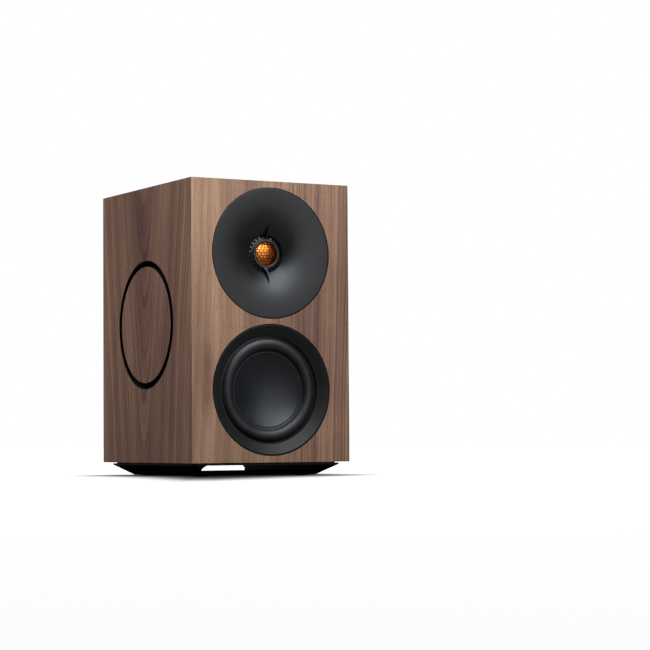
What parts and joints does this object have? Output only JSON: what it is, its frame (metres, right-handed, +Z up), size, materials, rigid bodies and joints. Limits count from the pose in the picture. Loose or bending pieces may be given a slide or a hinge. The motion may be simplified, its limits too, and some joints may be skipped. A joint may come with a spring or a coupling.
{
  "type": "bookshelf speaker",
  "caption": "Compact powered bookshelf speaker: mitred walnut box, flush waveguide tweeter, woofer behind a conical trim ring, slotted side radiators and a tapered plinth.",
  "frame": {"origin": "on the surface the speaker stands on, under the middle of the cabinet's plan", "axes": "+Z up, the front with the drivers faces -Y, +X to the right seen from the front"},
  "size_m": [0.18, 0.22, 0.3],
  "materials": {
    "walnut_veneer": "satin walnut veneer with straight grain",
    "bare_board": "bare fibreboard",
    "satin_black": "satin moulded",
    "black_metal": "powder coated",
    "orange_metal": "orange anodised",
    "dome_metal": "polished",
    "cone_black": "satin coated cone",
    "rubber_black": "satin",
    "cloth": "resin-treated cloth",
    "wadding": "polyester wadding",
    "coil_copper": "enamelled winding",
    "plated_steel": "zinc plated",
    "ferrite": "ground ferrite",
    "cup_plastic": "moulded",
    "control_black": "smooth moulded",
    "circuit_board": "green solder mask",
    "electronics": "sleeved and potted parts",
    "lead_insulation": "soft insulation"
  },
  "bodies": {
    "cabinet": {"front_baffle": "walnut_veneer", "rear_panel": "walnut_veneer", "left_side_panel": "walnut_veneer", "right_side_panel": "walnut_veneer", "top_panel": "walnut_veneer", "bottom_panel": "walnut_veneer", "left_side_disc": "walnut_veneer", "right_side_disc": "walnut_veneer", "window_brace": "bare_board", "base_plinth": "satin_black", "tweeter_waveguide": "satin_black", "phase_ring": "satin_black", "woofer_trim_ring": "satin_black", "left_slot_carrier": "satin_black", "right_slot_carrier": "satin_black", "left_radiator_frame": "satin_black", "right_radiator_frame": "satin_black", "switch_housing": "satin_black", "mains_inlet": "satin_black", "input_sockets": "satin_black", "throat_mesh": "black_metal", "amp_plate": "black_metal", "heatsink": "black_metal", "woofer_basket": "black_metal", "dome_guard": "orange_metal", "woofer_surround": "rubber_black", "left_radiator_surround": "rubber_black", "right_radiator_surround": "rubber_black", "rubber_feet": "rubber_black", "woofer_gasket": "rubber_black", "amp_gasket": "rubber_black", "tweeter_suspension": "cloth", "woofer_spider": "cloth", "acoustic_wadding": "wadding", "tweeter_top_plate": "plated_steel", "tweeter_yoke": "plated_steel", "woofer_top_plate": "plated_steel", "woofer_back_plate": "plated_steel", "tweeter_screws": "plated_steel", "waveguide_screws": "plated_steel", "woofer_screws": "plated_steel", "radiator_screws": "plated_steel", "base_screws": "plated_steel", "amp_screws": "plated_steel", "board_standoffs": "plated_steel", "tweeter_magnet": "ferrite", "woofer_magnet": "ferrite", "tweeter_back_cup": "cup_plastic", "amp_board": "circuit_board", "amp_components": "electronics", "power_transformer": "electronics", "driver_leads": "lead_insulation"},
    "woofer_moving": {"woofer_cone": "cone_black", "woofer_voice_coil": "coil_copper"},
    "tweeter_moving": {"tweeter_dome": "dome_metal", "tweeter_voice_coil": "coil_copper"},
    "left_radiator": {"left_radiator_piston": "cone_black"},
    "right_radiator": {"right_radiator_piston": "cone_black"},
    "rocker": {"power_rocker": "control_black"},
    "button": {"pairing_button": "control_black"}
  },
  "joints": [
    {"name": "woofer_travel", "type": "slide", "parent": "cabinet", "child": "woofer_moving", "axis": [0, -1, 0], "range_m": [-0.004, 0.004], "stiffness_N_per_m": 1000, "deforming": ["woofer_surround", "woofer_spider"]},
    {"name": "tweeter_travel", "type": "slide", "parent": "cabinet", "child": "tweeter_moving", "axis": [0, -1, 0], "range_m": [-0.0003, 0.0003], "stiffness_N_per_m": 2000, "deforming": ["tweeter_suspension"]},
    {"name": "left_radiator_travel", "type": "slide", "parent": "cabinet", "child": "left_radiator", "axis": [-1, 0, 0], "range_m": [-0.005, 0.005], "stiffness_N_per_m": 700, "deforming": ["left_radiator_surround"]},
    {"name": "right_radiator_travel", "type": "slide", "parent": "cabinet", "child": "right_radiator", "axis": [1, 0, 0], "range_m": [-0.005, 0.005], "stiffness_N_per_m": 700, "deforming": ["right_radiator_surround"]},
    {"name": "power_rocker_turn", "type": "hinge", "parent": "cabinet", "child": "rocker", "pos_m": [-0.002, 0.1018, 0.059], "axis": [0, 0, -1], "range_deg": [0, 18]},
    {"name": "pairing_button_press", "type": "slide", "parent": "cabinet", "child": "button", "axis": [0, -1, 0], "range_m": [0, 0.0008], "stiffness_N_per_m": 600}
  ],
  "couplings": [
    {"joint": "right_radiator_travel", "follows": "left_radiator_travel", "ratio": 1}
  ]
}
